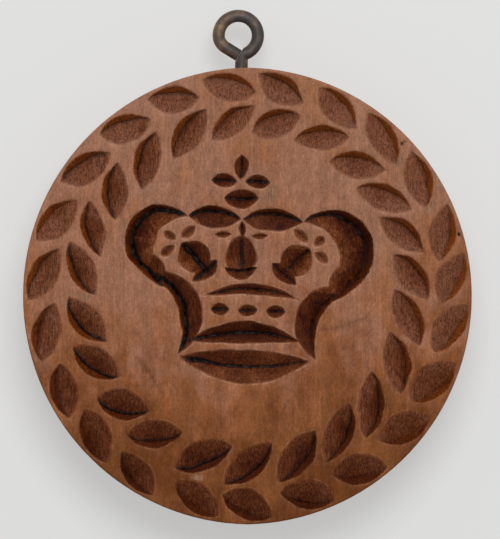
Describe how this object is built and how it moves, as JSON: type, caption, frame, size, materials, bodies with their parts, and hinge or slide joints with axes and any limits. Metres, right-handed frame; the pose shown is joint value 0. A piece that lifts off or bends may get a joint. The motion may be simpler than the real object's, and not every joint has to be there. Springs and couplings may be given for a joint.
{
  "type": "springerle mould",
  "caption": "Round wooden cookie mould, its face carved in reverse with a crown inside a leaf wreath, with a wire screw eye in the rim to hang it by.",
  "frame": {"origin": "middle of the flat back, on the block's turning axis", "axes": "+Z out of the carved face, +Y along the grain towards the screw eye, +X to the right of the crown as seen from the front"},
  "size_m": [0.0982, 0.1128, 0.016],
  "materials": {
    "wood": "stained and waxed, satin",
    "bronze": "antiqued, satin"
  },
  "bodies": {
    "mould": {"mould_disc": "wood"},
    "eye": {"screw_eye": "bronze"}
  },
  "joints": [
    {"name": "eye_turn", "type": "hinge", "parent": "mould", "child": "eye", "pos_m": [-0.0013, 0.04995, 0.008], "axis": [0, 1, 0], "range_deg": [-90, 90]}
  ]
}
